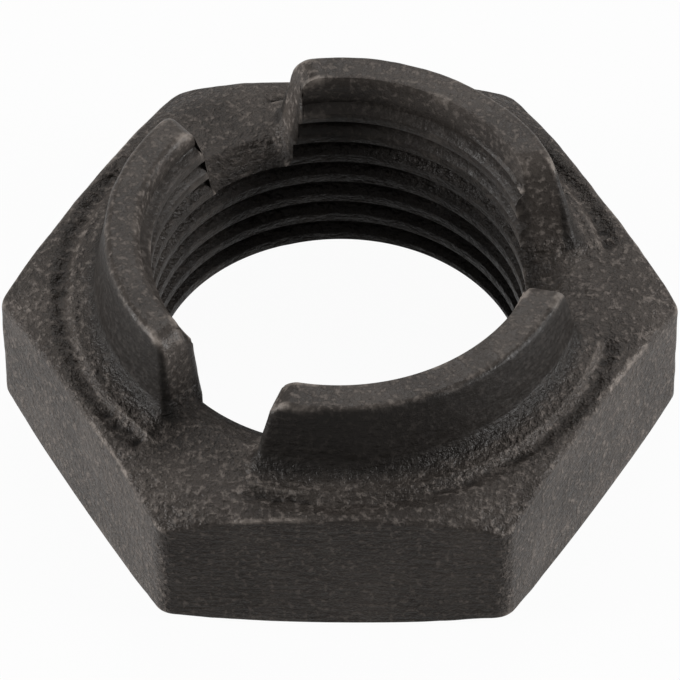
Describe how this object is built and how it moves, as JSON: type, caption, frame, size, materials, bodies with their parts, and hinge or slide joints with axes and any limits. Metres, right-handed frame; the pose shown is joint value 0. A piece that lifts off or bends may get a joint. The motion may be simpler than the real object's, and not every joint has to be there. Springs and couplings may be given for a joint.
{
  "type": "castle nut",
  "caption": "Low forged hexagon nut whose top carries curved lugs parted by slots, so a locking plate or cotter can hold it from turning on its thread.",
  "frame": {"origin": "centre of the bearing face, on the thread axis", "axes": "+Z along the thread from the bearing face to the tips of the lugs; +X through a corner of the hexagon and the middle of a slot; -Y out of the flat turned to the viewer"},
  "size_m": [0.0344, 0.03, 0.013],
  "materials": {
    "phosphated_steel": "dark phosphate over a hot-forged skin, dull, with edges rubbed brighter"
  },
  "bodies": {
    "root": {"castle_nut": "phosphated_steel"}
  },
  "joints": []
}
